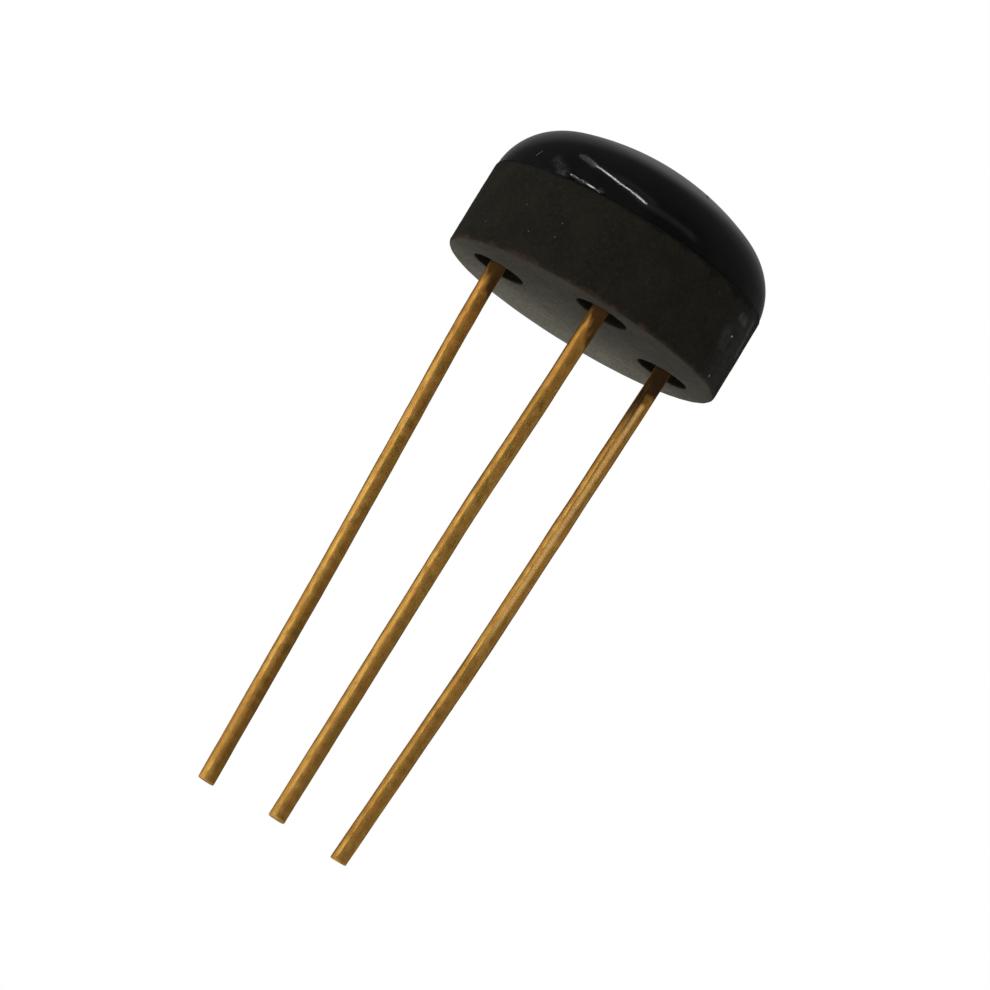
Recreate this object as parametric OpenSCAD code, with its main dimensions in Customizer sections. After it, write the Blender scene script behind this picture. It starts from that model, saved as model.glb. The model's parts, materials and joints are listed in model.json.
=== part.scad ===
// Round-header small-signal transistor. Units: mm.
// A dark disc holds three gold-plated leads in sealed holes, and a poured dome covers the chip on top.
// The origin is the centre of the seating face, +Z points up through the dome, and the leads run down.
// The emitter and collector leads lie on the X axis, and the base lead lies at -Y.

/* [Header] */
// Radius of the header
header_r = 4.015; // [3.6:0.005:5]
// Height of the header, from the seating face to the dome
header_h = 2.39; // [1.9:0.01:3.5]
// Edge round at the seating face
header_base_round = 0.10; // [0.02:0.01:0.25]
// Edge round at the dome's side
header_top_round = 0.05; // [0.02:0.01:0.2]
// Radius of the circle that the leads stand on
pin_circle_r = 2.54; // [2:0.01:2.8]
// Radius of each lead hole in the header
lead_hole_r = 0.73; // [0.55:0.01:0.9]

/* [Dome] */
// Height of the dome over the header
dome_h = 2.16; // [1.8:0.01:3]
// How far the dome's rim stands in from the header's side
dome_inset = 0.015; // [0:0.005:0.1]
// Radius of the round shoulder of the dome
dome_shoulder_r = 1.88; // [1:0.01:1.95]
// Lean of the dome's side at its rim, in degrees from upright
dome_rim_lean = 5.4; // [0:0.1:15]
// Slope of the poured dome, in degrees, higher over the emitter
dome_slope = 1.6; // [0:0.1:4]

/* [Leads] */
// Radius of each round lead
lead_r = 0.23; // [0.18:0.01:0.3]
// Length of each lead below the seating face
lead_len = 15.15; // [12:0.05:25]
// Chamfer at the cut end of each lead
lead_tip_chamfer = 0.03; // [0.01:0.01:0.08]
// Radius of the flattened head on top of each lead
lead_head_r = 0.5; // [0.4:0.01:0.54]
// Thickness of the flattened head
lead_head_t = 0.15; // [0.1:0.01:0.3]
// Radius of each slight bend along a lead, at its centre line
lead_bend_r = 1.2; // [0.6:0.1:1.4]

/* [Lead bends] */
// How far below its seal the emitter lead starts its first bend
emitter_bend_1_drop = 3.55; // [0:0.05:6]
// Direction of the emitter lead after its first bend, in degrees towards +X
emitter_bend_1_to = 2.4; // [-4:0.1:4]
// Depth below the seating face where the emitter lead starts its second bend
emitter_bend_2_at = 9; // [7:0.1:11]
// Direction of the emitter lead after its second bend
emitter_bend_2_to = 1.75; // [-4:0.05:4]
// How far below its seal the base lead starts its first bend
base_bend_1_drop = 0.1; // [0:0.05:6]
// Direction of the base lead after its first bend
base_bend_1_to = -2.4; // [-4:0.1:4]
// Depth below the seating face where the base lead starts its second bend
base_bend_2_at = 6; // [5.5:0.1:11]
// Direction of the base lead after its second bend
base_bend_2_to = -0.6; // [-4:0.1:4]
// How far below its seal the collector lead starts its first bend
collector_bend_1_drop = 0.8; // [0:0.05:6]
// Direction of the collector lead after its first bend
collector_bend_1_to = -1.9; // [-4:0.1:4]
// Depth below the seating face where the collector lead starts its second bend
collector_bend_2_at = 8.9; // [7:0.1:11]
// Direction of the collector lead after its second bend
collector_bend_2_to = -3.15; // [-4:0.05:4]

/* [Lead seals] */
// Depth of the open hole below each seal
seal_recess = 1.0; // [0.3:0.05:1.5]
// Sag of the hollow lower face of each seal
seal_sag = 0.08; // [0.02:0.01:0.2]

/* [Chip and wires] */
// Side of the square chip
die_w = 0.45; // [0.3:0.01:0.6]
// Thickness of the chip
die_t = 0.15; // [0.1:0.01:0.25]
// Radius of the round end of the collector paddle, under the chip
paddle_r = 0.45; // [0.43:0.01:0.6]
// Diameter of each bond wire
bond_wire_d = 0.05; // [0.04:0.005:0.06]
// Height of each wire's loop over the straight line between its ends
bond_loop_h = 0.5; // [0.3:0.05:0.9]
// Radius of the pressed foot at each end of a wire
bond_foot_r = 0.06; // [0.05:0.005:0.08]
// Height of the pressed foot
bond_foot_h = 0.05; // [0.05:0.005:0.08]
// Offset of the two chip pads from the chip's centre
die_pad_offset = 0.11; // [0.09:0.01:0.15]

/* [Hidden] */
$fn = 96;

emitter_at = [-pin_circle_r, 0];
base_at = [0, -pin_circle_r];
collector_at = [pin_circle_r, 0];

head_top_z = header_h + lead_head_t;
die_top_z = head_top_z + die_t;
emitter_pad = [-die_pad_offset, 0, die_top_z];
base_pad = [0, -die_pad_offset, die_top_z];
emitter_land = [emitter_at.x, emitter_at.y, head_top_z];
base_land = [base_at.x, base_at.y, head_top_z];

// The dome's outline: a shoulder arc that starts at the rim, then a wide top arc tangent to it.
dome_rim_r = header_r - dome_inset;
shoulder_x = dome_rim_r - dome_shoulder_r * cos(dome_rim_lean);
shoulder_z = -dome_shoulder_r * sin(dome_rim_lean);
shoulder_rise = dome_h - shoulder_z;
top_arc_r = (pow(shoulder_x, 2) + pow(shoulder_rise, 2) - pow(dome_shoulder_r, 2))
            / (2 * (shoulder_rise - dome_shoulder_r));
top_arc_z = dome_h - top_arc_r;
// How far the outline runs on below the rim, to be trimmed level with the header after sloping
dome_skirt = 0.6;

// Below this turn, in degrees, a lead runs straight on and needs no bend
straight_angle = 0.01;

// The seal's hollow face: an arc that spans from the lead to the hole's wall.
seal_gap = lead_hole_r - lead_r;
seal_arc_r = (pow(seal_gap / 2, 2) + pow(seal_sag, 2)) / (2 * seal_sag);

header_color = [0.17, 0.16, 0.135];
dome_color = [0.05, 0.05, 0.055];
gold_color = [0.72, 0.52, 0.22];
seal_color = [0.06, 0.06, 0.07];
die_color = [0.35, 0.36, 0.4];

module header() {
    color(header_color)
        difference() {
            rotate_extrude() header_section();
            for (at = [emitter_at, base_at, collector_at])
                translate([at.x, at.y, -1]) cylinder(r = lead_hole_r, h = header_h + 2);
        }
}

module header_section() {
    base_x = header_r - header_base_round;
    top_x = header_r - header_top_round;
    square([min(base_x, top_x), header_h]);
    translate([0, header_base_round]) square([header_r, header_h - header_base_round - header_top_round]);
    translate([base_x, header_base_round]) circle(r = header_base_round);
    translate([top_x, header_h - header_top_round]) circle(r = header_top_round);
}

module epoxy_cap() {
    color(dome_color)
        difference() {
            dome();
            lead_head(emitter_at);
            lead_head(base_at);
            collector_paddle();
            die_block();
            bond_wire(emitter_pad, emitter_land);
            bond_wire(base_pad, base_land);
        }
}

// The poured dome, sloped as it set, and trimmed level with the header's upper face
module dome() {
    intersection() {
        translate([0, 0, header_h]) cylinder(r = 2 * header_r, h = 3 * dome_h);
        translate([0, 0, header_h]) rotate([0, dome_slope, 0]) rotate_extrude() dome_section();
    }
}

module dome_section() {
    reach = 2 * top_arc_r;
    tangent_angle = atan2(shoulder_z - top_arc_z, shoulder_x);
    intersection() {
        translate([0, -dome_skirt]) square([2 * header_r, dome_skirt + 2 * dome_h]);
        union() {
            intersection() {
                translate([0, top_arc_z]) circle(r = top_arc_r, $fn = 4 * $fn);
                translate([0, top_arc_z])
                    polygon([[0, 0], reach * [cos(tangent_angle), sin(tangent_angle)],
                             [reach, 2 * reach], [0, 2 * reach]]);
            }
            translate([shoulder_x, shoulder_z]) circle(r = dome_shoulder_r, $fn = 2 * $fn);
            translate([0, -dome_skirt]) square([shoulder_x, dome_skirt + shoulder_z + dome_shoulder_r / 2]);
        }
    }
}

module emitter_lead() {
    color(gold_color) {
        lead_with_head(emitter_at, emitter_bend_1_drop, emitter_bend_1_to,
                       emitter_bend_2_at, emitter_bend_2_to)
            lead_head(emitter_at);
    }
}

module base_lead() {
    color(gold_color) {
        lead_with_head(base_at, base_bend_1_drop, base_bend_1_to, base_bend_2_at, base_bend_2_to)
            lead_head(base_at);
    }
}

module collector_lead() {
    color(gold_color) {
        lead_with_head(collector_at, collector_bend_1_drop, collector_bend_1_to,
                       collector_bend_2_at, collector_bend_2_to)
            collector_paddle();
    }
}

// A lead from its head, given as the child, down through the header and two gentle bends to its end.
// Bends are placed by their depth below the seating face, which is negative inside the hole.
module lead_with_head(at, bend_1_drop, bend_1_to, bend_2_at, bend_2_to) {
    bend_1_at = bend_1_drop - seal_recess;
    middle_len = bend_2_at - bend_1_at - bend_run(bend_1_to);
    end_len = lead_len - bend_2_at - bend_run(bend_2_to - bend_1_to);
    union() {
        children();
        translate([at.x, at.y, 0]) {
            translate([0, 0, -bend_1_at]) cylinder(r = lead_r, h = header_h + bend_1_at);
            translate([0, 0, -bend_1_at]) {
                lead_bend(bend_1_to);
                past_bend(bend_1_to) {
                    lead_run(middle_len);
                    translate([0, 0, -middle_len]) {
                        lead_bend(bend_2_to - bend_1_to);
                        past_bend(bend_2_to - bend_1_to) lead_end(end_len);
                    }
                }
            }
        }
    }
}

// Length of wire used by a bend of the given angle
function bend_run(angle) = lead_bend_r * abs(angle) * PI / 180;

// A straight stretch that runs down from the local origin
module lead_run(len) {
    translate([0, 0, -len]) cylinder(r = lead_r, h = len);
}

// The last stretch, with its chamfered cut end
module lead_end(len) {
    translate([0, 0, -len + lead_tip_chamfer]) cylinder(r = lead_r, h = len - lead_tip_chamfer);
    translate([0, 0, -len]) cylinder(r1 = lead_r - lead_tip_chamfer, r2 = lead_r, h = lead_tip_chamfer);
}

// A bend that starts at the local origin, running down, and turns by the angle towards +X
module lead_bend(angle) {
    if (abs(angle) > straight_angle)
        mirror([angle < 0 ? 1 : 0, 0, 0])
            translate([lead_bend_r, 0, 0])
                rotate([90, 0, 0]) rotate([0, 0, 180])
                    rotate_extrude(angle = abs(angle)) translate([lead_bend_r, 0]) circle(r = lead_r);
}

// Places the children at the end of a bend, running on in its new direction
module past_bend(angle) {
    translate([sign(angle) * lead_bend_r * (1 - cos(angle)), 0, -lead_bend_r * sin(abs(angle))])
        rotate([0, -angle, 0]) children();
}

module lead_head(at) {
    translate([at.x, at.y, header_h]) cylinder(r = lead_head_r, h = lead_head_t);
}

// The collector's head, drawn out into a paddle that carries the chip at the header's centre
module collector_paddle() {
    translate([0, 0, header_h])
        linear_extrude(height = lead_head_t) {
            translate(collector_at) circle(r = lead_head_r);
            circle(r = paddle_r);
            translate([0, -paddle_r]) square([collector_at.x, 2 * paddle_r]);
        }
}

module emitter_seal() { color(seal_color) lead_seal(emitter_at); }

module base_seal() { color(seal_color) lead_seal(base_at); }

module collector_seal() { color(seal_color) lead_seal(collector_at); }

// A bead that fills the hole round a lead, level with the header's upper face and hollow below
module lead_seal(at) {
    hollow_at = [lead_r + seal_gap / 2, seal_recess + seal_sag - seal_arc_r];
    translate([at.x, at.y, 0])
        rotate_extrude()
            difference() {
                translate([lead_r, seal_recess]) square([seal_gap, header_h - seal_recess]);
                translate(hollow_at) circle(r = seal_arc_r);
            }
}

module die() { color(die_color) die_block(); }

module die_block() {
    translate([-die_w / 2, -die_w / 2, head_top_z]) cube([die_w, die_w, die_t]);
}

module emitter_bond_wire() { color(gold_color) bond_wire(emitter_pad, emitter_land); }

module base_bond_wire() { color(gold_color) bond_wire(base_pad, base_land); }

// A wire that loops from one pad to another as an arc, with a pressed foot on each
module bond_wire(from, to) {
    lift = bond_foot_h / 2;
    step = to - from;
    level = norm([step.x, step.y]);
    chord = norm(step);
    loop_r = (pow(chord / 2, 2) + pow(bond_loop_h, 2)) / (2 * bond_loop_h);
    half_angle = asin(chord / 2 / loop_r);
    union() {
        translate(from) cylinder(r = bond_foot_r, h = bond_foot_h);
        translate(to) cylinder(r = bond_foot_r, h = bond_foot_h);
        translate(from + [0, 0, lift])
            rotate([0, -atan2(step.z, level), atan2(step.y, step.x)])
                translate([chord / 2, 0, bond_loop_h - loop_r])
                    rotate([90, 0, 0]) rotate([0, 0, 90 - half_angle])
                        rotate_extrude(angle = 2 * half_angle, $fn = 2 * $fn)
                            translate([loop_r, 0]) circle(d = bond_wire_d, $fn = 24);
    }
}

header();
epoxy_cap();
emitter_lead();
base_lead();
collector_lead();
emitter_seal();
base_seal();
collector_seal();
die();
emitter_bond_wire();
base_bond_wire();
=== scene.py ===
"""Looks of a round-header transistor with three gold-plated leads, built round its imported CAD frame.

Lengths in the helpers are millimetres in the part's own frame: the seating face is z = 0, +Z points up
through the dome, and the leads run down. Meshes are scaled to metres when they are made.
"""
import json
import math
from functools import cached_property

import bpy
import numpy as np
from mathutils import Matrix, Vector, noise


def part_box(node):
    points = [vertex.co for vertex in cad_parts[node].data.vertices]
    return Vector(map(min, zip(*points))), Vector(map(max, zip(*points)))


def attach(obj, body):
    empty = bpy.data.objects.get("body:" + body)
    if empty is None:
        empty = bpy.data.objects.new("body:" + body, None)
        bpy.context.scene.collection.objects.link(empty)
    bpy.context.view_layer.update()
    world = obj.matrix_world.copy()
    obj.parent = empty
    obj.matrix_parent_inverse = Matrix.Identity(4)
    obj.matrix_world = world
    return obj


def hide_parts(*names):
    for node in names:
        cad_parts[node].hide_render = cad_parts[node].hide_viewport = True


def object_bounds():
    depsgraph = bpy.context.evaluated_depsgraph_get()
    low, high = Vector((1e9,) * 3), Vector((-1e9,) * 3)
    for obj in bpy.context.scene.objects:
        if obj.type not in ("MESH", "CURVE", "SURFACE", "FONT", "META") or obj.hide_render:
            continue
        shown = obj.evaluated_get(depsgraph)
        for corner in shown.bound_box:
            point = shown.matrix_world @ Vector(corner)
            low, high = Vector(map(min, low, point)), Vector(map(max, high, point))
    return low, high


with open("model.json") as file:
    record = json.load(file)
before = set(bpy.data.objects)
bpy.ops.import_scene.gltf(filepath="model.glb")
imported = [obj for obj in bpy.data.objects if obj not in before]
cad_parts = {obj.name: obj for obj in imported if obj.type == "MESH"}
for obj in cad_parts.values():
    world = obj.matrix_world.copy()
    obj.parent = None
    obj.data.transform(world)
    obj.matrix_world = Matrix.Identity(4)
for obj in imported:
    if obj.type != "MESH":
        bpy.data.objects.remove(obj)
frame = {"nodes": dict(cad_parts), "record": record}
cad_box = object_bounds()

MM = 0.001

# The dome's form, as in the CAD source: a round shoulder, then a wide top arc, sloped as it set
DOME_SHOULDER_R = 1.88
DOME_RIM_LEAN = math.radians(5.4)
DOME_SLOPE = math.radians(1.6)

# A grain of dust set in the dome's skin: its place, height and width
DUST_GRAIN = Vector((0.80, -2.30, 4.10))
DUST_HEIGHT, DUST_WIDTH = 0.055, 0.038

# The leads were cut by hand: each is a hair longer than the CAD's nominal length, with a rounded end that
# slants a little. TIP_ROUND holds rings as (distance from the tip, how much smaller the radius is there),
# and CUT_SLANT the slant as a share of the wire's thickness and the angle round it.
TIP_MORE = {"emitter": 0.05, "base": 0.02, "collector": 0.04}
TIP_ROUND = ((0.0, 0.030), (0.006, 0.014), (0.018, 0.004))
CUT_SLANT = {"emitter": (0.06, 3.6), "base": (0.05, 4.4), "collector": (0.08, 0.6)}

# The seals hold two of the leads a little off their holes' centres
ENTRY_SHIFT = {"emitter_lead": (-0.065, 0.009, 0), "base_lead": (-0.045, 0.006, 0)}

# The small edge of the leads' flattened heads
HEAD_EDGE = 0.02

# The view of the object that the picture is taken from
AIM = Vector((0.529, 0.570, -4.945))
VIEW_AZIMUTH, VIEW_ELEVATION, VIEW_ROLL = -8.212, -7.367, 31.307
VIEW_DISTANCE = 103.83
LENS, SENSOR = 145.45, 36.0


# ---------------------------------------------------------------- sizes, read from the frame

def box_mm(node):
    """The lowest and highest corner of a CAD node, in millimetres."""
    low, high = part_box(node)
    return low / MM, high / MM


def mount(name):
    """A mount of the part's record."""
    return next(m for m in frame["record"]["mounts"] if m["name"] == name)


HEADER_LOW, HEADER_HIGH = box_mm("header")
HEADER_R = (HEADER_HIGH.x - HEADER_LOW.x) / 2
HEADER_H = HEADER_HIGH.z
PIN_CIRCLE_R = mount("lead_pattern")["dims"]["pcd_mm"] / 2
PINS = {"emitter": Vector((-PIN_CIRCLE_R, 0, 0)),
        "base": Vector((0, -PIN_CIRCLE_R, 0)),
        "collector": Vector((PIN_CIRCLE_R, 0, 0))}
LEAD_R = mount("emitter_lead_end")["dims"]["r_mm"]
SEAL_LOW, SEAL_HIGH = box_mm("emitter_seal")
HOLE_R = (SEAL_HIGH.x - SEAL_LOW.x) / 2
HEAD_TOP = box_mm("emitter_lead")[1].z
HEAD_R = -PIN_CIRCLE_R - box_mm("emitter_lead")[0].x
PADDLE_R = -box_mm("collector_lead")[0].x
DOME_TOP = box_mm("epoxy_cap")[1].z
DOME_RIM_R = box_mm("epoxy_cap")[1].y


# ---------------------------------------------------------------- mesh helpers

def make_object(name, verts, faces, smooth_angle=35):
    """A mesh object from points in millimetres, smooth but for edges sharper than the angle."""
    mesh = bpy.data.meshes.new(name)
    mesh.from_pydata([Vector(v) * MM for v in verts], [], faces)
    mesh.validate()
    obj = bpy.data.objects.new(name, mesh)
    bpy.context.scene.collection.objects.link(obj)
    smooth(obj, smooth_angle)
    return obj


def smooth(obj, angle):
    """Smooth shading, but for edges sharper than the angle in degrees."""
    obj.data.polygons.foreach_set("use_smooth", [True] * len(obj.data.polygons))
    obj.data.set_sharp_from_angle(angle=math.radians(angle))


def ring(r, z, segments, centre=(0, 0)):
    """Points of a level circle."""
    angles = [2 * math.pi * j / segments for j in range(segments)]
    return [(centre[0] + r * math.cos(a), centre[1] + r * math.sin(a), z) for a in angles]


def rings_to_faces(rows, segments):
    """Quads between rings of points, row after row."""
    faces = []
    for i in range(rows - 1):
        for j in range(segments):
            a, b = i * segments + j, i * segments + (j + 1) % segments
            faces.append((a, b, b + segments, a + segments))
    return faces


def point_caps(rows, segments, low, high):
    """Triangles from the first ring to the point low, and from the last ring to the point high."""
    faces, last = [], (rows - 1) * segments
    for j in range(segments):
        k = (j + 1) % segments
        faces += [(k, j, low), (last + j, last + k, high)]
    return faces


def flat_caps(rows, segments):
    """The two faces that close a body of rings."""
    last = (rows - 1) * segments
    return [tuple(range(segments))[::-1], tuple(range(last, last + segments))]


def lathe(profile, segments, centre=(0, 0)):
    """Points and faces of a closed body turned about an upright axis, from (radius, height) pairs.
    The profile runs from the axis, round the outside, back to the axis."""
    body = profile[1:-1]
    verts = [point for r, z in body for point in ring(r, z, segments, centre)]
    faces = rings_to_faces(len(body), segments) + point_caps(len(body), segments, len(verts), len(verts) + 1)
    verts += [(*centre, profile[0][1]), (*centre, profile[-1][1])]
    return verts, faces


def ring_lathe(profile, segments, centre):
    """Points and faces of a ring turned about an upright axis, from a closed outline of (radius, height)."""
    verts = [point for r, z in profile for point in ring(r, z, segments, centre)]
    faces = rings_to_faces(len(profile) + 1, segments)
    return verts, [tuple(i % len(verts) for i in face) for face in faces]


def arc(centre_r, centre_z, radius, start, end, steps):
    """Points along an arc of the (radius, height) plane, angles in degrees."""
    points = []
    for i in range(steps + 1):
        a = math.radians(start + (end - start) * i / steps)
        points.append((centre_r + radius * math.cos(a), centre_z + radius * math.sin(a)))
    return points


def held(value):
    """The value, held between 0 and 1."""
    return min(max(value, 0.0), 1.0)


def wobble(point, size, amount, seed):
    """Smooth seeded unevenness: a value about 0, of the given feature size and amount."""
    return amount * noise.noise(Vector(point) / size + Vector((seed, 2 * seed, 3 * seed)))


def cut(obj, cutters):
    """Takes the cutters out of obj, for good."""
    for cutter in cutters:
        m = obj.modifiers.new("cut", "BOOLEAN")
        m.operation, m.solver, m.object = "DIFFERENCE", "EXACT", cutter
    depsgraph = bpy.context.evaluated_depsgraph_get()
    mesh = bpy.data.meshes.new_from_object(obj.evaluated_get(depsgraph))
    obj.modifiers.clear()
    obj.data = mesh
    for cutter in cutters:
        bpy.data.objects.remove(cutter)


def finish_piece(obj, material, slot, *nodes):
    """Gives a piece its material and body, and hides the CAD nodes that it replaces. The slot is not used."""
    obj.data.materials.clear()
    obj.data.materials.append(material)
    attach(obj, "root")
    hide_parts(*nodes)


# ---------------------------------------------------------------- header

def build_header(material):
    """The disc, with worn edges, a slightly uneven side and three flared lead holes."""
    base_round, top_round, wall_rows = 0.10, 0.05, 40
    profile = [(HEADER_R * share, 0) for share in (0, 0.2, 0.5, 0.8, 0.9)]
    profile += arc(HEADER_R - base_round, base_round, base_round, -90, 0, steps=8)
    wall_low, wall_high = base_round, HEADER_H - top_round
    profile += [(HEADER_R, wall_low + (wall_high - wall_low) * i / wall_rows) for i in range(1, wall_rows)]
    profile += arc(HEADER_R - top_round, wall_high, top_round, 0, 90, steps=5)
    profile += [(HEADER_R * 0.6, HEADER_H), (0, HEADER_H)]
    verts, faces = lathe(profile, segments=320)
    verts = [uneven_wall(v) for v in verts]
    obj = make_object("header_body", verts, faces)
    cut(obj, [hole_cutter(pin) for pin in PINS.values()])
    smooth(obj, angle=32)
    finish_piece(obj, material, "header_ceramic", "header")


def uneven_wall(v):
    """Moves a point of the header's side slightly in or out, most by its lower edge, where it is worn."""
    band, worn_height, inset = 0.2, 0.3, 0.006
    r = math.hypot(v[0], v[1])
    if r < HEADER_R - band:
        return v
    edge = max(0.0, 1 - v[2] / worn_height)
    push = wobble(v, 1.6, 0.010, 1) + wobble(v, 0.35, 0.005, 2) + edge * wobble(v, 0.25, 0.012, 3) - inset
    return v[0] * (r + push) / r, v[1] * (r + push) / r, v[2]


def hole_cutter(pin):
    """A cutter for a lead hole, flared at the seating face by a small worn edge."""
    flare, beyond, just_below = 0.04, 0.5, 0.001
    profile = [(0, -beyond), (HOLE_R + flare, -beyond), (HOLE_R + flare, -just_below)]
    profile += arc(HOLE_R + flare, flare, flare, 270, 180, steps=5)
    profile += [(HOLE_R, HEADER_H + beyond), (0, HEADER_H + beyond)]
    verts, faces = lathe(profile, segments=96, centre=(pin.x, pin.y))
    return make_object("cutter", verts, faces)


# ---------------------------------------------------------------- dome

def dome_outline():
    """A function of 0 to 1 that gives (radius, height) from under the rim, over the shoulder, to the top."""
    height = DOME_TOP - HEADER_H
    shoulder_x = DOME_RIM_R - DOME_SHOULDER_R * math.cos(DOME_RIM_LEAN)
    shoulder_z = -DOME_SHOULDER_R * math.sin(DOME_RIM_LEAN)
    rise = height - shoulder_z
    top_r = (shoulder_x ** 2 + rise ** 2 - DOME_SHOULDER_R ** 2) / (2 * (rise - DOME_SHOULDER_R))
    top_z = height - top_r
    join = math.atan2(shoulder_z - top_z, shoulder_x)
    start = math.radians(-8)  # below the rim of the unsloped dome
    shoulder_len = DOME_SHOULDER_R * (join - start)
    top_len = top_r * (math.pi / 2 - join)

    def at(t):
        s = t * (shoulder_len + top_len)
        if s < shoulder_len:
            a = start + s / DOME_SHOULDER_R
            return shoulder_x + DOME_SHOULDER_R * math.cos(a), shoulder_z + DOME_SHOULDER_R * math.sin(a)
        a = join + (s - shoulder_len) / top_r
        return top_r * math.cos(a), top_z + top_r * math.sin(a)

    return at


def slope_dome(a, r, z):
    """A point of the upright dome at angle a, sloped about Y and set on the header."""
    x, y = r * math.cos(a), r * math.sin(a)
    c, s = math.cos(DOME_SLOPE), math.sin(DOME_SLOPE)
    return Vector((x * c + z * s, y, HEADER_H - x * s + z * c))


def rim_start(at, a):
    """Where along the outline the sloped dome leaves the header's upper face, for one direction."""
    low, high, halvings = 0.0, 0.5, 40
    for _ in range(halvings):
        t = (low + high) / 2
        if slope_dome(a, *at(t)).z < HEADER_H:
            low = t
        else:
            high = t
    return high


def rim_lip(point, height):
    """How far the dome's foot stands out at the front left, under the small slanting ledge that the epoxy
    left there: its left end is the higher and steeper one."""
    # In degrees round the dome, with 0 at -Y: the ledge's middle, half length, fade, right end and run
    ledge, half_length, fade, right_end, run = -34, 9.5, 2.5, -26, 16
    bearing = math.degrees(math.atan2(point.x, -point.y))
    share = held((half_length - abs(bearing - ledge)) / fade)
    left = max(0.0, right_end - bearing) / run
    middle, half_height = 0.02 + 0.10 * left, 0.03
    down = held((middle + half_height - height) / (2 * half_height))
    steepness = 0.323 + 0.054 * left ** 2 + 0.025 * down
    return share * 2 * half_height * down * steepness


def build_dome(material):
    """The poured cap, with rows of points close together at the rim, where its lip needs them."""
    at, segments = dome_outline(), 480
    rim_share, rim_rows, upper_rows = 0.036, 28, 100
    shares = [rim_share * (i / rim_rows) for i in range(rim_rows)]
    shares += [rim_share + (1 - rim_share) * (i / upper_rows) ** 1.1 for i in range(upper_rows)]
    starts = [rim_start(at, 2 * math.pi * j / segments) for j in range(segments)]
    verts = []
    for share in shares:
        for j in range(segments):
            a = 2 * math.pi * j / segments
            t = starts[j] + (1 - starts[j]) * share
            verts.append(uneven_dome(slope_dome(a, *at(t))))
    rows = len(shares)
    faces = rings_to_faces(rows, segments) + point_caps(rows, segments, len(verts), len(verts) + 1)
    verts += [Vector((0, 0, HEADER_H)), slope_dome(0, 0, at(1)[1])]
    obj = make_object("dome", verts, faces, smooth_angle=50)
    finish_piece(obj, material, "dome_epoxy", "epoxy_cap")


def uneven_dome(p):
    """Adds the rim's inset, its lip, a grain of dust and the slight unevenness of a poured surface."""
    rim_height, inset, left_inset, calm_radius = 0.5, 0.004, 0.024, 0.5
    height = p.z - HEADER_H
    near_rim = math.exp(-height / rim_height)
    push = wobble(p, 2.2, 0.012, 5) + near_rim * wobble(p, 0.6, 0.006, 6)
    push += rim_lip(p, height) - near_rim * (inset + left_inset * max(0.0, -p.x / DOME_RIM_R))
    grain = DUST_HEIGHT * math.exp(-((p - DUST_GRAIN).length / DUST_WIDTH) ** 2)
    wider = 1 + push / max(math.hypot(p.x, p.y), calm_radius)
    return Vector((p.x * wider, p.y * wider, p.z + grain))


# ---------------------------------------------------------------- leads

def section_centre(node, z):
    """Centre of a CAD node's section at a height."""
    mesh = frame["nodes"][node].data
    co = np.empty(len(mesh.vertices) * 3)
    mesh.vertices.foreach_get("co", co)
    co = co.reshape(-1, 3) / MM
    edges = np.empty(len(mesh.edges) * 2, dtype=int)
    mesh.edges.foreach_get("vertices", edges)
    a, b = co[edges.reshape(-1, 2)[:, 0]], co[edges.reshape(-1, 2)[:, 1]]
    hit = (a[:, 2] - z) * (b[:, 2] - z) < 0
    a, b = a[hit], b[hit]
    p = (a + (b - a) * ((z - a[:, 2]) / (b[:, 2] - a[:, 2]))[:, None])[:, :2]
    turn = np.argsort(np.arctan2(*(p - p.mean(0)).T[::-1]))
    p, q = p[turn], np.roll(p[turn], -1, axis=0)
    area = p[:, 0] * q[:, 1] - q[:, 0] * p[:, 1]
    return ((p + q) * area[:, None]).sum(0) / (3 * area.sum())


def lead_path(node, tip_z, top_z, rows):
    """The lead's centre line from tip to top, with the CAD's short bends eased as in drawn wire."""
    end_margin, ease_length, entry_depth = 0.12, 1.4, 2.2
    z = np.linspace(tip_z, top_z, rows)
    # Near its ends the wire runs on straight, at the lean of a few rows further in
    inside = np.clip(z, tip_z + end_margin, top_z - end_margin)
    xy = np.array([section_centre(node, v) for v in inside])
    ends = (z - inside)[:, None]
    lean = np.gradient(xy, z, axis=0)
    xy = xy + ends * np.where(z[:, None] < 0, lean[4], lean[-5])
    # A running average with soft weights eases the bends
    reach = int(round(ease_length / (z[1] - z[0])))
    kernel = np.exp(-np.linspace(-2, 2, 2 * reach + 1) ** 2 / 2)
    kernel /= kernel.sum()
    eased = xy.copy()
    for k in range(2):
        before = xy[0, k] - (xy[1, k] - xy[0, k]) * np.arange(reach, 0, -1)
        after = xy[-1, k] + (xy[-1, k] - xy[-2, k]) * np.arange(1, reach + 1)
        eased[:, k] = np.convolve(np.concatenate([before, xy[:, k], after]), kernel, "valid")
    aside = Vector(ENTRY_SHIFT.get(node, (0, 0, 0)))
    return [Vector((x, y, v)) + aside * math.exp(-(min(v, 0) / entry_depth) ** 2)
            for (x, y), v in zip(eased, z)]


def sweep(path, radii, segments, shift):
    """A closed round body along a path, with a radius at each point. shift moves ring points along it."""
    verts = []
    for i, p in enumerate(path):
        ahead, behind = path[min(i + 1, len(path) - 1)], path[max(i - 1, 0)]
        t = (ahead - behind).normalized() if (ahead - behind).length > 1e-9 else Vector((0, 0, 1))
        u = (Vector((1, 0, 0)) - t * t.x).normalized()
        v = t.cross(u)
        for j in range(segments):
            a = 2 * math.pi * j / segments
            q = p + (u * math.cos(a) + v * math.sin(a)) * radii[i]
            verts.append(q + t * shift(i, a))
    return verts, rings_to_faces(len(path), segments) + flat_caps(len(path), segments)


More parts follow.
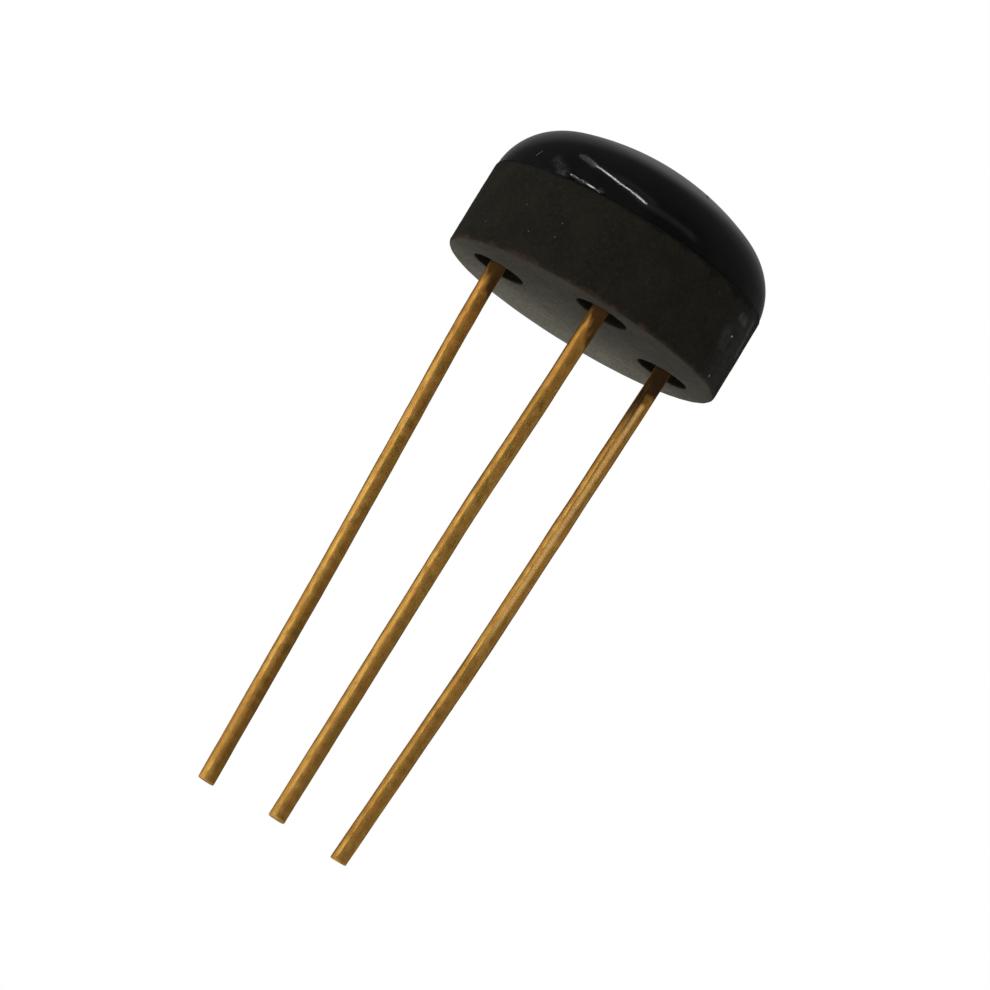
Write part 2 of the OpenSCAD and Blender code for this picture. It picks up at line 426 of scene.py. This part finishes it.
def lead_rings(name, node, top_z):
    """Centres and radii of the lead's rings: a cut tip, the drawn wire, up to top_z."""
    rows, ring_gap = 420, 0.01
    tip_z = box_mm(node)[0].z - TIP_MORE[name]
    seed = 11 + list(PINS).index(name)
    path = lead_path(node, tip_z, top_z, rows)
    radii = [LEAD_R + wobble(p, 1.1, 0.006, seed) + wobble(p, 0.25, 0.0025, seed + 5) for p in path]
    # The last few rings round off the cut end, along the wire's lean there
    tip, down = path[0], (path[0] - path[6]).normalized()
    for index, (back, thinner) in enumerate(TIP_ROUND):
        path.insert(index, tip - down * back)
        radii.insert(index, LEAD_R - thinner)
    rounded = len(TIP_ROUND)
    keep = [i for i in range(len(path)) if i < rounded or path[i].z > path[rounded - 1].z + ring_gap]
    return [path[i] for i in keep], [radii[i] for i in keep]


def cut_shift(name):
    """The slight slant that the cutters left on a lead's end, as a shift of each ring's points."""
    slant, turn = CUT_SLANT[name]
    fade_rings = 12

    def shift(i, a):
        fade = max(0.0, 1 - i / fade_rings)
        return fade * slant * LEAD_R * (1 + math.cos(a - turn))

    return shift


def build_lead(name, material):
    """A lead with its flattened head, or for the collector the wire up to its paddle."""
    node = f"{name}_lead"
    path, radii = lead_rings(name, node, HEADER_H)
    if name != "collector":
        at = path[-1]
        for r, z in ((HEAD_R - HEAD_EDGE, HEADER_H), (HEAD_R, HEADER_H + HEAD_EDGE),
                     (HEAD_R, HEAD_TOP - HEAD_EDGE), (HEAD_R - HEAD_EDGE, HEAD_TOP)):
            path.append(Vector((at.x, at.y, z)))
            radii.append(r)
    verts, faces = sweep(path, radii, segments=48, shift=cut_shift(name))
    if name == "collector":
        more, plates = paddle()
        faces += [tuple(i + len(verts) for i in f) for f in plates]
        verts += more
    obj = make_object(f"{name}_wire", verts, faces, smooth_angle=40)
    finish_piece(obj, material, "gold_plated_lead", node)


def paddle():
    """The collector's flattened paddle, which carries the chip at the header's centre."""
    steps = 48
    join_x = PIN_CIRCLE_R - math.sqrt(HEAD_R ** 2 - PADDLE_R ** 2)
    side = math.atan2(PADDLE_R, join_x - PIN_CIRCLE_R)
    outline = []  # a half circle round the chip, then the arc of the head round the pin
    for i in range(steps + 1):
        a = math.radians(90 + 180 * i / steps)
        outline.append((PADDLE_R * math.cos(a), PADDLE_R * math.sin(a)))
    for i in range(steps + 1):
        a = -side + 2 * side * i / steps
        outline.append((PIN_CIRCLE_R + HEAD_R * math.cos(a), HEAD_R * math.sin(a)))
    inner = shrink_outline(outline, HEAD_EDGE)
    levels = ((inner, HEADER_H), (outline, HEADER_H + HEAD_EDGE), (outline, HEAD_TOP - HEAD_EDGE),
              (inner, HEAD_TOP))
    verts = [Vector((x, y, z)) for points, z in levels for x, y in points]
    rows, n = len(levels), len(outline)
    return verts, rings_to_faces(rows, n) + flat_caps(rows, n)


def shrink_outline(outline, inset):
    """The outline moved inwards, for a rounded edge."""
    moved = []
    for i, (x, y) in enumerate(outline):
        (ax, ay), (bx, by) = outline[i - 1], outline[(i + 1) % len(outline)]
        along = Vector((bx - ax, by - ay)).normalized()
        moved.append((x - along.y * inset, y + along.x * inset))
    return moved


# ---------------------------------------------------------------- seals

def build_seal(name, material):
    """A glass bead round a lead, with a hollow lower face that climbs the lead and the hole's wall."""
    pin, inner, outer = PINS[name], LEAD_R - 0.02, HOLE_R  # inner lies within the wire, so no gap shows
    steps, hollow, fullness = 16, 0.10, 0.7
    profile = []
    for i in range(steps + 1):
        share = i / steps
        rise = hollow * math.sin(math.pi * share) ** fullness
        profile.append((inner + (outer - inner) * share, SEAL_LOW.z + rise))
    profile += [(outer, HEADER_H), (inner, HEADER_H)]
    verts, faces = ring_lathe(profile, segments=72, centre=(pin.x, pin.y))
    obj = make_object(f"{name}_bead", verts, faces, smooth_angle=50)
    finish_piece(obj, material, "seal_glass", f"{name}_seal")


# ---------------------------------------------------------------- material helpers

class Tree:
    """The node tree of a material or world, written as nested calls. Lengths are in millimetres of the
    part's frame."""

    def __init__(self, owner):
        owner.use_nodes = True
        self.owner, self.tree = owner, owner.node_tree
        self.shader = self.tree.nodes.get("Principled BSDF") or self.tree.nodes["Background"]

    def node(self, kind, **settings):
        n = self.tree.nodes.new(kind)
        for key, value in settings.items():
            setattr(n, key, value)
        return n

    def feed(self, socket, value):
        """Links a value to a socket, or writes a constant into it."""
        if isinstance(value, bpy.types.NodeSocket):
            self.tree.links.new(value, socket)
        elif socket.type == "RGBA":
            socket.default_value = (*value, 1)
        else:
            socket.default_value = value

    def set(self, **inputs):
        """Values or links for the shader's own sockets, with _ for a space in a socket's name."""
        for key, value in inputs.items():
            self.feed(self.shader.inputs[key.replace("_", " ")], value)
        return self.owner

    # Numbers and vectors

    def math(self, operation, a, b=0.0, clamp=False):
        n = self.node("ShaderNodeMath", operation=operation, use_clamp=clamp)
        self.feed(n.inputs[0], a)
        self.feed(n.inputs[1], b)
        return n.outputs[0]

    def times(self, a, b):
        return self.math("MULTIPLY", a, b)

    def plus(self, a, b):
        return self.math("ADD", a, b)

    def held(self, value):
        """The value, held between 0 and 1."""
        return self.math("ADD", value, 0.0, clamp=True)

    def most(self, *masks):
        """The largest of the masks."""
        top = masks[0]
        for mask in masks[1:]:
            top = self.math("MAXIMUM", top, mask)
        return top

    def span(self, value, low, high, low_value=0.0, high_value=1.0):
        """low to high becomes low_value to high_value, smoothly, and is held outside."""
        n = self.node("ShaderNodeMapRange", interpolation_type="SMOOTHSTEP")
        for socket, v in zip(("Value", "From Min", "From Max", "To Min", "To Max"),
                             (value, low, high, low_value, high_value)):
            self.feed(n.inputs[socket], v)
        return n.outputs["Result"]

    def vector(self, operation, a, b=None, scale=None):
        n = self.node("ShaderNodeVectorMath", operation=operation)
        self.feed(n.inputs[0], a)
        if b is not None:
            self.feed(n.inputs[1], b)
        if scale is not None:
            self.feed(n.inputs["Scale"], scale)
        one_number = operation in ("DOT_PRODUCT", "DISTANCE", "LENGTH")
        return n.outputs["Value" if one_number else "Vector"]

    def component(self, vector, axis):
        """A vector's X, Y or Z."""
        n = self.node("ShaderNodeSeparateXYZ")
        self.feed(n.inputs[0], vector)
        return n.outputs[axis]

    # Places and directions

    @cached_property
    def place(self):
        """The point on the surface."""
        place = self.node("ShaderNodeTexCoord").outputs["Object"]
        return self.vector("SCALE", place, scale=1 / MM)

    def axis(self, name):
        """The point's place along X, Y or Z."""
        return self.component(self.place, name)

    def radius(self):
        """Distance from the part's upright axis."""
        return self.vector("LENGTH", self.vector("MULTIPLY", self.place, (1, 1, 0)))

    def faces_down(self):
        """1 where the surface faces straight down, -1 where it faces up."""
        normal = self.node("ShaderNodeNewGeometry").outputs["True Normal"]
        return self.times(self.component(normal, "Z"), -1.0)

    def facing(self, axis):
        """How far the smooth surface faces along an axis: 1 straight along it, -1 against it."""
        return self.component(self.node("ShaderNodeNewGeometry").outputs["Normal"], axis)

    # Patterns and masks

    def seeded_place(self, size, steps, seed):
        """The place in units of size, moved by so many steps that each seed has its own pattern."""
        sizes = size if hasattr(size, "__len__") else (size,) * 3
        spot = self.vector("MULTIPLY", self.place, tuple(1 / s for s in sizes))
        return self.vector("ADD", spot, tuple(step * seed for step in steps))

    def noise(self, size, seed, detail=3.0):
        """Seeded noise about 0.5. size is one length, or three for a grain that runs along an axis."""
        n = self.node("ShaderNodeTexNoise", noise_dimensions="3D")
        self.feed(n.inputs["Vector"], self.seeded_place(size, (7.3, 3.1, 5.7), seed))
        self.feed(n.inputs["Scale"], 1.0)
        self.feed(n.inputs["Detail"], detail)
        return n.outputs[0]

    def grains(self, size, seed, share, radius):
        """A mask of small round grains: share of the cells of that size hold one, of up to that radius."""
        n = self.node("ShaderNodeTexVoronoi", voronoi_dimensions="3D")
        self.feed(n.inputs["Vector"], self.seeded_place(size, (1.7, 4.3, 2.9), seed))
        self.feed(n.inputs["Scale"], 1.0)
        cell = self.node("ShaderNodeSeparateColor")
        self.feed(cell.inputs[0], n.outputs["Color"])
        chosen = self.math("LESS_THAN", cell.outputs[0], share)
        near = self.math("LESS_THAN", n.outputs["Distance"], self.times(cell.outputs[1], radius / size))
        return self.times(chosen, near)

    def stroke(self, start, end, width, soft=0.5):
        """A mask along the straight line from start to end, on or in the surface, with a soft edge."""
        start, end = Vector(start), Vector(end)
        along = end - start
        away = self.vector("SUBTRACT", self.place, tuple(start))
        share = self.vector("DOT_PRODUCT", away, tuple(along / max(along.length_squared, 1e-6)))
        foot = self.vector("SCALE", tuple(along), scale=self.held(share))
        distance = self.vector("DISTANCE", away, foot)
        return self.span(distance, width * (1 - soft), width, 1.0, 0.0)

    # Colours and bumps

    def mix(self, share, a, b):
        n = self.node("ShaderNodeMix", data_type="RGBA")
        self.feed(n.inputs["Factor"], share)
        self.feed(n.inputs[6], a)
        self.feed(n.inputs[7], b)
        return n.outputs[2]

    def painted(self, colour, *layers):
        """The colour with layers over it, one after another, as (mask, colour) pairs."""
        for mask, paint in layers:
            colour = self.mix(mask, colour, paint)
        return colour

    def bump(self, *heights):
        """Bumps on one another, as (height, depth in millimetres) pairs."""
        normal = None
        for value, depth in heights:
            n = self.node("ShaderNodeBump")
            self.feed(n.inputs["Distance"], depth * MM)
            self.feed(n.inputs["Height"], value)
            if normal is not None:
                self.feed(n.inputs["Normal"], normal)
            normal = n.outputs["Normal"]
        return normal


def material_tree(name):
    """The node tree of a new material."""
    return Tree(bpy.data.materials.new(name))


# ---------------------------------------------------------------- materials

def header_material():
    """Dark brown fired body, dull. The seating face is painted paler than the side, most so towards the back,
    as painted light, and the walls of the lead holes are painted near black, as painted shade. Its outer edge
    is worn to a red brown. There are fine mottles, specks and a faint bluish painted sheen on the right, and
    the epoxy stains the upper edge."""
    t = material_tree("header_fired")
    broad, fine, grain = t.noise(0.9, 1, 4), t.noise(0.13, 2, 3), t.noise(0.045, 5, 2)
    green, brown = t.noise(0.09, 7, 1), t.noise(0.12, 8, 1)
    height, mottle = t.axis("Z"), t.span(broad, 0.35, 0.65)

    # Painted light: the seating face is painted much paler than the side, and paler still towards the back,
    # where more light falls on it
    side_dark, side_pale = (0.0112, 0.0107, 0.0083), (0.0146, 0.0136, 0.0103)
    front_dark, front_pale = (0.0255, 0.0240, 0.0198), (0.0310, 0.0285, 0.0230)
    lit_back_dark, lit_back_pale = (0.107, 0.103, 0.082), (0.126, 0.120, 0.094)
    side = t.mix(mottle, side_dark, side_pale)
    back = t.math("POWER", t.span(t.axis("Y"), -4.0, 4.4), 2.0)
    face = t.mix(mottle, t.mix(back, front_dark, lit_back_dark), t.mix(back, front_pale, lit_back_pale))

    # Painted shade: the walls of the lead holes are painted near black
    hole_shade = t.times(t.span(t.radius(), 3.60, 3.50), t.span(height, 0.02, 0.12))
    pits = t.times(t.span(fine, 0.45, 0.22, 0, 0.6), t.span(height, 0.004, 0.030, 0.3, 1.0))
    turned = t.span(t.faces_down(), 0.97, 0.80)
    worn_edge = t.times(t.span(t.radius(), 3.75, 3.90), t.span(height, 0.17, 0.04))
    worn_edge = t.times(t.times(worn_edge, turned), t.span(t.noise(0.45, 9, 3), 0.40, 0.66, 0.08, 0.75))
    ragged = t.span(t.noise(0.34, 10, 2), 0.35, 0.65, 0.02, 0.24)
    ragged = t.times(ragged, t.span(t.axis("X"), -0.6, 1.2, 0.2, 1.0))
    rim_mark = t.span(t.math("SUBTRACT", HEADER_H, height), t.plus(ragged, 0.08), ragged)

    colour = t.painted(
        t.mix(t.span(height, 0.004, 0.030), face, side),
        # painted shade in the lead holes
        (t.times(hole_shade, 0.7), (0.0050, 0.0046, 0.0038)),
        (t.span(fine, 0.52, 0.78, 0, 0.32), (0.034, 0.027, 0.019)),      # pale mottles
        (pits, (0.0070, 0.0068, 0.0054)),
        (t.span(green, 0.50, 0.74, 0, 0.42), (0.0185, 0.0208, 0.0110)),
        (t.span(brown, 0.52, 0.74, 0, 0.36), (0.0240, 0.0172, 0.0122)),
        (worn_edge, (0.046, 0.0265, 0.0200)),
        (t.times(rim_mark, 0.65), (0.0058, 0.0054, 0.0060)),
        (t.times(t.grains(0.16, 3, 0.04, 0.026), 0.45), (0.08, 0.045, 0.03)),    # reddish grains
        (t.times(t.grains(0.35, 4, 0.02, 0.024), 0.45), (0.12, 0.115, 0.10)),    # pale grains
        # painted bluish sheen on the right of the side
        (header_painted_sheen(t), (0.105, 0.115, 0.130)),
        (header_specks(t), (0.55, 0.55, 0.52)))
    return t.set(Base_Color=colour, Roughness=t.span(fine, 0.3, 0.7, 0.75, 0.95), Specular_IOR_Level=0.02,
                 Normal=t.bump((broad, 0.010), (fine, 0.008), (grain, 0.004)))


def header_painted_sheen(t):
    """A faint bluish-grey painted sheen on the right of the header's side: three soft patches over a wider,
    fainter one.
    """
    patches = t.most(t.stroke((3.12, -2.50, 1.93), (3.36, -2.19, 1.88), 0.22, 1.0),
                     t.stroke((3.62, -1.74, 2.02), (3.72, -1.52, 1.25), 0.28, 1.0),
                     t.times(t.stroke((3.02, -2.64, 1.28), (3.10, -2.55, 1.08), 0.42, 1.0), 0.55),
                     t.times(t.stroke((3.50, -1.97, 1.70), (3.40, -2.14, 0.50), 1.05, 1.0), 0.28))
    # breaks up the painted sheen with noise
    worn = t.span(t.noise(0.16, 6, 3), 0.25, 0.65, 0.35, 1.0)
    return t.times(patches, t.times(worn, 0.32))


def header_specks(t):
    """Pale specks of dust on the header's side: two bright ones on the right, four dim ones on the left."""
    bright = t.most(t.stroke((3.19, -2.43, 1.375), (3.20, -2.42, 1.365), 0.026),
                    t.stroke((3.235, -2.375, 0.225), (3.24, -2.37, 0.19), 0.020))
    dim = [t.stroke(spot, spot, 0.026) for spot in
           ((-3.66, -1.64, 0.57), (-2.74, -2.93, 0.71), (-2.15, -3.38, 0.86), (-2.16, -3.38, 1.26))]
    return t.most(bright, t.times(t.most(*dim), 0.13))


def dome_material():
    """Poured black epoxy: shiny, with dust and a light scratch. By its rim at the front left there are a dull
    patch painted with a grey reflection, a painted bluish reflection, and dull chips on the ledge."""
    t = material_tree("dome_poured")
    skin, fine = t.noise(0.30, 1, 3), t.noise(0.07, 2, 1)
    cloud = t.span(t.noise(0.12, 7, 3), 0.30, 0.65, 0.3, 1.0)
    black, brownish = (0.0024, 0.0024, 0.0025), (0.0040, 0.0038, 0.0034)
    dust = t.times(t.grains(0.70, 5, 0.04, 0.028), 0.4)
    # By the rim at the front left: a duller patch painted with a grey reflection, and a painted bluish
    # reflection
    haze_and_reflection = t.times(t.stroke((-3.02, -2.52, 2.72), (-2.76, -2.88, 2.50), 0.24, 1.0), cloud)
    rim_mark = t.times(t.stroke((-2.86, -2.80, 2.43), (-2.66, -2.99, 2.42), 0.08, 0.9), cloud)
    scratch = t.stroke((-3.46, -1.92, 2.66), (-3.39, -1.96, 2.83), 0.022, 0.6)
    colour = t.painted(
        t.mix(t.span(t.noise(1.3, 3, 4), 0.35, 0.7), black, brownish),
        (dust, (0.16, 0.16, 0.15)),
        # painted grey and bluish reflections by the rim
        (t.times(haze_and_reflection, 0.55), (0.026, 0.026, 0.028)),
        (t.times(rim_mark, 0.7), (0.012, 0.012, 0.030)),
        (t.times(scratch, 0.6), (0.11, 0.11, 0.11)))

    dull = t.stroke((-2.52, -2.85, 3.10), (-2.24, -3.12, 3.00), 0.17, 1.0)
    ledge = t.stroke((-2.28, -3.22, 2.47), (-1.74, -3.56, 2.45), 0.11, 0.5)
    chips = t.times(t.span(t.noise(0.13, 8, 1), 0.46, 0.58), ledge)
    rough = t.span(t.noise(0.8, 6, 3), 0.35, 0.7, 0.07, 0.10)
    for mask, more in ((t.most(dust, haze_and_reflection), 0.32), (dull, 0.16), (chips, 0.26)):
        rough = t.plus(rough, t.times(mask, more))
    return t.set(Base_Color=colour, Roughness=rough, Normal=t.bump((skin, 0.0012), (fine, 0.0005)))


def lead_material():
    """Gold plating gone dull and tarnished olive and brown, with drawing marks along the wire. Painted shade
    darkens the leads where they go into their holes, on their right-hand side and towards their tips, and a
    painted highlight runs as a bright strip down the collector. Bare brown metal shows where the ends were
    cut."""
    t = material_tree("gold_plate")
    marks, hair = t.noise((0.10, 0.10, 2.6), 1, 1), t.noise((0.07, 0.07, 0.7), 2, 0)
    dents = t.noise((0.26, 0.26, 1.10), 5, 2)
    patches, spots = t.noise((0.22, 0.22, 0.55), 3, 2), t.noise((0.11, 0.11, 0.26), 4, 1)
    height, right = t.axis("Z"), t.facing("X")

    # Painted shade: the lower leads are painted darker on their right-hand side
    side_shade = t.times(t.span(right, -0.40, 0.30), t.span(height, -4, -13, 0, 0.60))
    # Down the collector's left it is tarnished; the second stroke is painted shade where the collector goes
    # into its hole
    tarnish_and_entry_shade = t.most(t.stroke((2.34, -0.165, -0.30), (2.33, -0.15, -2.20), 0.17, 0.6),
                     t.stroke((2.50, -0.15, 0.20), (2.50, -0.15, -0.50), 0.30, 0.5))
    tarnish_and_entry_shade = t.times(tarnish_and_entry_shade, t.span(height, -2.5, -1.0, 0, 0.95))
    # Painted shade: the leads are painted dark where they go into their holes, reaching further down their
    # right-hand side
    reach = t.plus(height, t.times(right, 0.45))
    entry_shade = t.span(t.plus(reach, t.span(patches, 0.3, 0.7, -0.15, 0.15)), -0.82, -0.34)
    cut_end = t.span(t.faces_down(), 0.6, 0.9)
    # Painted highlight: a bright strip painted down the collector, on rougher metal
    highlight_strip = t.most(t.stroke((2.51, -0.225, -1.05), (2.42, -0.21, -3.0), 0.105, 1.0),
                    t.stroke((2.42, -0.21, -3.0), (2.19, -0.19, -8.8), 0.105, 1.0))
    highlight_strip = t.times(highlight_strip, t.span(height, -9.2, -7.0))

    bright, dull = (0.60, 0.335, 0.078), (0.54, 0.268, 0.060)
    gold = t.painted(
        t.mix(t.span(patches, 0.36, 0.66), bright, dull),
        (t.span(height, -3.5, -0.2, 0, 0.5), (0.62, 0.272, 0.052)),     # redder by the header
        (t.span(marks, 0.52, 0.30, 0, 0.30), (0.36, 0.192, 0.038)),
        (t.span(spots, 0.50, 0.70, 0, 0.24), (0.30, 0.158, 0.032)),
        # painted shade: the leads are painted darker and browner towards the tips
        (t.span(height, -6, -14, 0, 0.32), (0.34, 0.173, 0.038)),       # browner towards the tips
        # painted shade on the right-hand side
        (side_shade, (0.17, 0.084, 0.018)),
        # tarnished band, and painted shade where the collector goes into its hole
        (tarnish_and_entry_shade, (0.062, 0.035, 0.015)),
        # painted shade where the leads go into their holes
        (t.times(entry_shade, 0.90), (0.052, 0.027, 0.012)),
        (t.times(cut_end, 0.85), (0.20, 0.12, 0.05)),
        # painted highlight down the collector
        (highlight_strip, (0.90, 0.58, 0.21)))
    rough = t.plus(t.span(patches, 0.3, 0.7, 0.29, 0.41), t.span(spots, 0.55, 0.72, 0, 0.12))
    rough = t.plus(rough, t.times(t.most(highlight_strip, entry_shade), 0.35))
    return t.set(Base_Color=gold, Metallic=t.span(cut_end, 0, 1, 1.0, 0.6), Roughness=rough,
                 Specular_Tint=(0.75, 0.60, 0.42),
                 Normal=t.bump((dents, 0.018), (marks, 0.013), (hair, 0.0016), (spots, 0.005),
                               (patches, 0.004)))


def seal_material():
    """Dark cloudy glass."""
    t = material_tree("seal_dark_glass")
    cloud = t.noise(0.25, 1, 3)
    colour = t.mix(t.span(cloud, 0.35, 0.7), (0.004, 0.004, 0.0035), (0.012, 0.010, 0.008))
    return t.set(Base_Color=colour, Roughness=t.span(cloud, 0.3, 0.7, 0.10, 0.25),
                 Normal=t.bump((cloud, 0.006)))


def chip_material():
    """Grey silicon with fine upright cells."""
    t = material_tree("chip_silicon")
    cells = t.noise((0.03, 0.03, 0.2), 1, 1)
    colour = t.mix(t.span(cells, 0.45, 0.55), (0.060, 0.065, 0.075), (0.115, 0.120, 0.135))
    return t.set(Base_Color=colour, Metallic=0.4, Roughness=t.span(cells, 0.4, 0.6, 0.16, 0.26),
                 Normal=t.bump((cells, 0.0005)))


def bond_material():
    """Fine gold wire."""
    t = material_tree("bond_wire_gold")
    grain = t.noise((0.02, 0.02, 0.02), 1, 2)
    return t.set(Base_Color=t.mix(grain, (0.85, 0.58, 0.20), (0.70, 0.44, 0.13)), Metallic=1.0,
                 Roughness=t.span(grain, 0.3, 0.7, 0.18, 0.30), Normal=t.bump((grain, 0.0005)))


# ---------------------------------------------------------------- stage

def seen(t):
    """1 where a surface is seen, straight, mirrored or through a clear one, and 0 where it lights others."""
    path = t.node("ShaderNodeLightPath").outputs
    return t.held(t.plus(t.plus(path["Is Camera Ray"], path["Is Glossy Ray"]), path["Is Transmission Ray"]))


def build_floor(z):
    """A wide pale floor at the lead ends that keeps the shadow and is white further out, past the lamps'
    light. It is clear from below, for views of the seating face, and lamps under it shine through."""
    half, near, far, near_glow = 3000, 60, 250, 0.35
    corners = [(-half, -half, z), (half, -half, z), (half, half, z), (-half, half, z)]
    floor = make_object("floor", corners, [(0, 1, 2, 3)])
    floor.visible_shadow = False
    t = material_tree("pale_floor")
    glow = t.times(seen(t), t.span(t.radius(), near, far, near_glow, 1.0))
    floor.data.materials.append(t.set(Base_Color=(0.80, 0.80, 0.80), Roughness=1.0, Specular_IOR_Level=0.0,
                                      Emission_Color=(1, 1, 1), Emission_Strength=glow))
    clear, both = t.node("ShaderNodeBsdfTransparent"), t.node("ShaderNodeMixShader")
    t.feed(both.inputs[0], t.node("ShaderNodeNewGeometry").outputs["Backfacing"])
    t.feed(both.inputs[1], t.shader.outputs[0])
    t.feed(both.inputs[2], clear.outputs[0])
    t.feed(t.tree.nodes["Material Output"].inputs["Surface"], both.outputs[0])


def build_world(fill):
    """White where it is seen, and a plain soft fill on the object."""
    world = bpy.data.worlds.new("white_room")
    bpy.context.scene.world = world
    t = Tree(world)
    t.set(Color=(1, 1, 1), Strength=t.span(seen(t), 0, 1, fill, 1.0))


def direction(azimuth, elevation):
    """Unit vector towards a place round the part: azimuth 0 is -Y and 90 is +X, in degrees."""
    a, e = math.radians(azimuth), math.radians(elevation)
    return Vector((math.sin(a) * math.cos(e), -math.cos(a) * math.cos(e), math.sin(e)))


# The room's plain brightness, and its lowest and highest elevation round the part, in degrees
ROOM_LEVEL = 0.075
ROOM_LOWEST, ROOM_HIGHEST = -12, 89.9
# Soft paler or darker parts of it: azimuth, elevation, inner and outer half angle, added brightness
ROOM_WALLS = ((-178, 34, 8, 36, 0.12), (155, 45, 5, 30, 0.05), (24, 34, 8, 40, -0.030))
# Soft streaks of light on its walls: both ends, half width on the wall in mm, added brightness
ROOM_STREAKS = (((-50, 58), (-8, 53), 34, 0.15), ((-12, 43), (34, 39), 58, 0.19),
                ((-20, -2), (50, -2), 100, 0.10), ((-158, 2), (-178, 2), 60, 0.70))


def build_room():
    """The dim room round the part, shown only in its reflections: dark, with soft paler walls behind it.
    Under it, the white floor and world are reflected as they are."""
    radius, rows, columns = 350, 24, 96
    verts = []
    for i in range(rows + 1):
        elevation = ROOM_LOWEST + (ROOM_HIGHEST - ROOM_LOWEST) * i / rows
        verts += [direction(360 * j / columns, elevation) * radius for j in range(columns)]
    faces = [tuple(reversed(f)) for f in rings_to_faces(rows + 1, columns)]
    obj = make_object("studio_room", verts, faces)
    t = material_tree("studio_room")
    toward = t.vector("NORMALIZE", t.place)
    level = ROOM_LEVEL
    for azimuth, elevation, inner, outer, more in ROOM_WALLS:
        near = t.vector("DOT_PRODUCT", toward, tuple(direction(azimuth, elevation)))
        patch = t.span(near, math.cos(math.radians(outer)), math.cos(math.radians(inner)), 0.0, more)
        level = t.plus(patch, level)
    for start, end, width, more in ROOM_STREAKS:
        streak = t.stroke(direction(*start) * radius, direction(*end) * radius, width, 1.0)
        level = t.plus(t.times(streak, more), level)
    obj.data.materials.append(t.set(Base_Color=(0, 0, 0), Roughness=1.0, Specular_IOR_Level=0.0,
                                    Emission_Color=(1, 1, 1), Emission_Strength=level))
    obj.visible_camera = obj.visible_diffuse = obj.visible_shadow = False


def area_light(name, size, place, rotation, glossy=True):
    """An unseen area lamp at a place from the header's middle. Its power is set by the caller."""
    light = bpy.data.lights.new(name, "AREA")
    light.shape, light.size, light.size_y = "RECTANGLE", size[0] * MM, size[1] * MM
    obj = bpy.data.objects.new(name, light)
    bpy.context.scene.collection.objects.link(obj)
    obj.location = (Vector((0, 0, HEADER_H / 2)) + place) * MM
    obj.rotation_mode = "QUATERNION"
    obj.rotation_quaternion = rotation
    obj.visible_camera, obj.visible_glossy = False, glossy
    return light


def lamp(name, azimuth, elevation, distance, size, level, glossy=True):
    """A soft area lamp that faces the header. level is the brightness that it gives a white surface there,
    where 1 is plain."""
    away = direction(azimuth, elevation)
    light = area_light(name, size, away * distance, (-away).to_track_quat("-Z", "Y"), glossy)
    light.energy = math.pi ** 2 * level * (distance * MM) ** 2


def tube(name, start, end, width, glow):
    """A thin bright lamp, straight between two directions, that the dome mirrors as a line."""
    distance = 150
    a, b = direction(*start) * distance, direction(*end) * distance
    middle, along = (a + b) / 2, b - a
    x, z = along.normalized(), middle.normalized()
    rotation = Matrix((x, z.cross(x), z)).transposed().to_quaternion()
    light = area_light(name, (along.length, width), middle, rotation)
    light.energy = math.pi * glow * light.size * light.size_y


def build_lamps():
    """All lamps: soft ones round the part, and the three tubes of the streak on the dome."""
    lamp("lamp_under", -60, -65, 220, (160, 160), 0.50)
    tube("lamp_tube_left", (-101, 50), (-76, 51), 2.8, 7)
    tube("lamp_tube_middle", (-76, 51), (-43, 48), 3.2, 20)
    tube("lamp_tube_right", (-43, 48), (-12, 43), 3.2, 20)
    lamp("lamp_left", -80, 3, 260, (400, 100), 0.215)
    lamp("lamp_glint", -62, 4, 260, (45, 110), 0.028)
    lamp("lamp_right", 100, 3, 260, (190, 100), 0.018)
    lamp("lamp_front_fill", 30, 8, 300, (240, 240), 0.02, glossy=False)
    lamp("lamp_left_back_fill", -140, 12, 300, (200, 200), 0.14, glossy=False)
    lamp("lamp_back_fill", 128, 35, 300, (260, 260), 0.45, glossy=False)
    lamp("lamp_top_fill", -50, 70, 320, (240, 240), 0.50, glossy=False)


def build_camera():
    """The camera that the picture is taken with."""
    data = bpy.data.cameras.new("camera")
    data.lens, data.sensor_width, data.clip_start = LENS, SENSOR, 0.001
    obj = bpy.data.objects.new("camera", data)
    bpy.context.scene.collection.objects.link(obj)
    back = direction(VIEW_AZIMUTH, VIEW_ELEVATION)
    obj.location = (AIM + back * VIEW_DISTANCE) * MM
    right = Vector((-back.y, back.x, 0)).normalized()
    up = back.cross(right)
    c, s = math.cos(math.radians(VIEW_ROLL)), math.sin(math.radians(VIEW_ROLL))
    axes = (right * c + up * s, up * c - right * s, back)
    obj.rotation_mode = "QUATERNION"
    obj.rotation_quaternion = Matrix(axes).transposed().to_quaternion()
    bpy.context.scene.camera = obj


# ---------------------------------------------------------------- the scene

def build_part():
    """All pieces of the part. The chip and the bond wires are the CAD's own, with new materials."""
    build_header(header_material())
    build_dome(dome_material())
    gold, glass = lead_material(), seal_material()
    for name in PINS:
        build_lead(name, gold)
        build_seal(name, glass)
    for node, material in (("die", chip_material()), ("emitter_bond_wire", bond_material()),
                           ("base_bond_wire", bond_material())):
        frame["nodes"][node].data.materials.clear()
        frame["nodes"][node].data.materials.append(material)


build_camera()
build_part()
FLOOR_GAP = 0.02  # between the longest lead and the floor
build_floor(z=cad_box[0].z / MM - max(TIP_MORE.values()) - FLOOR_GAP)
build_world(fill=0.30)
build_room()
build_lamps()
bpy.context.scene.view_settings.view_transform = "Standard"
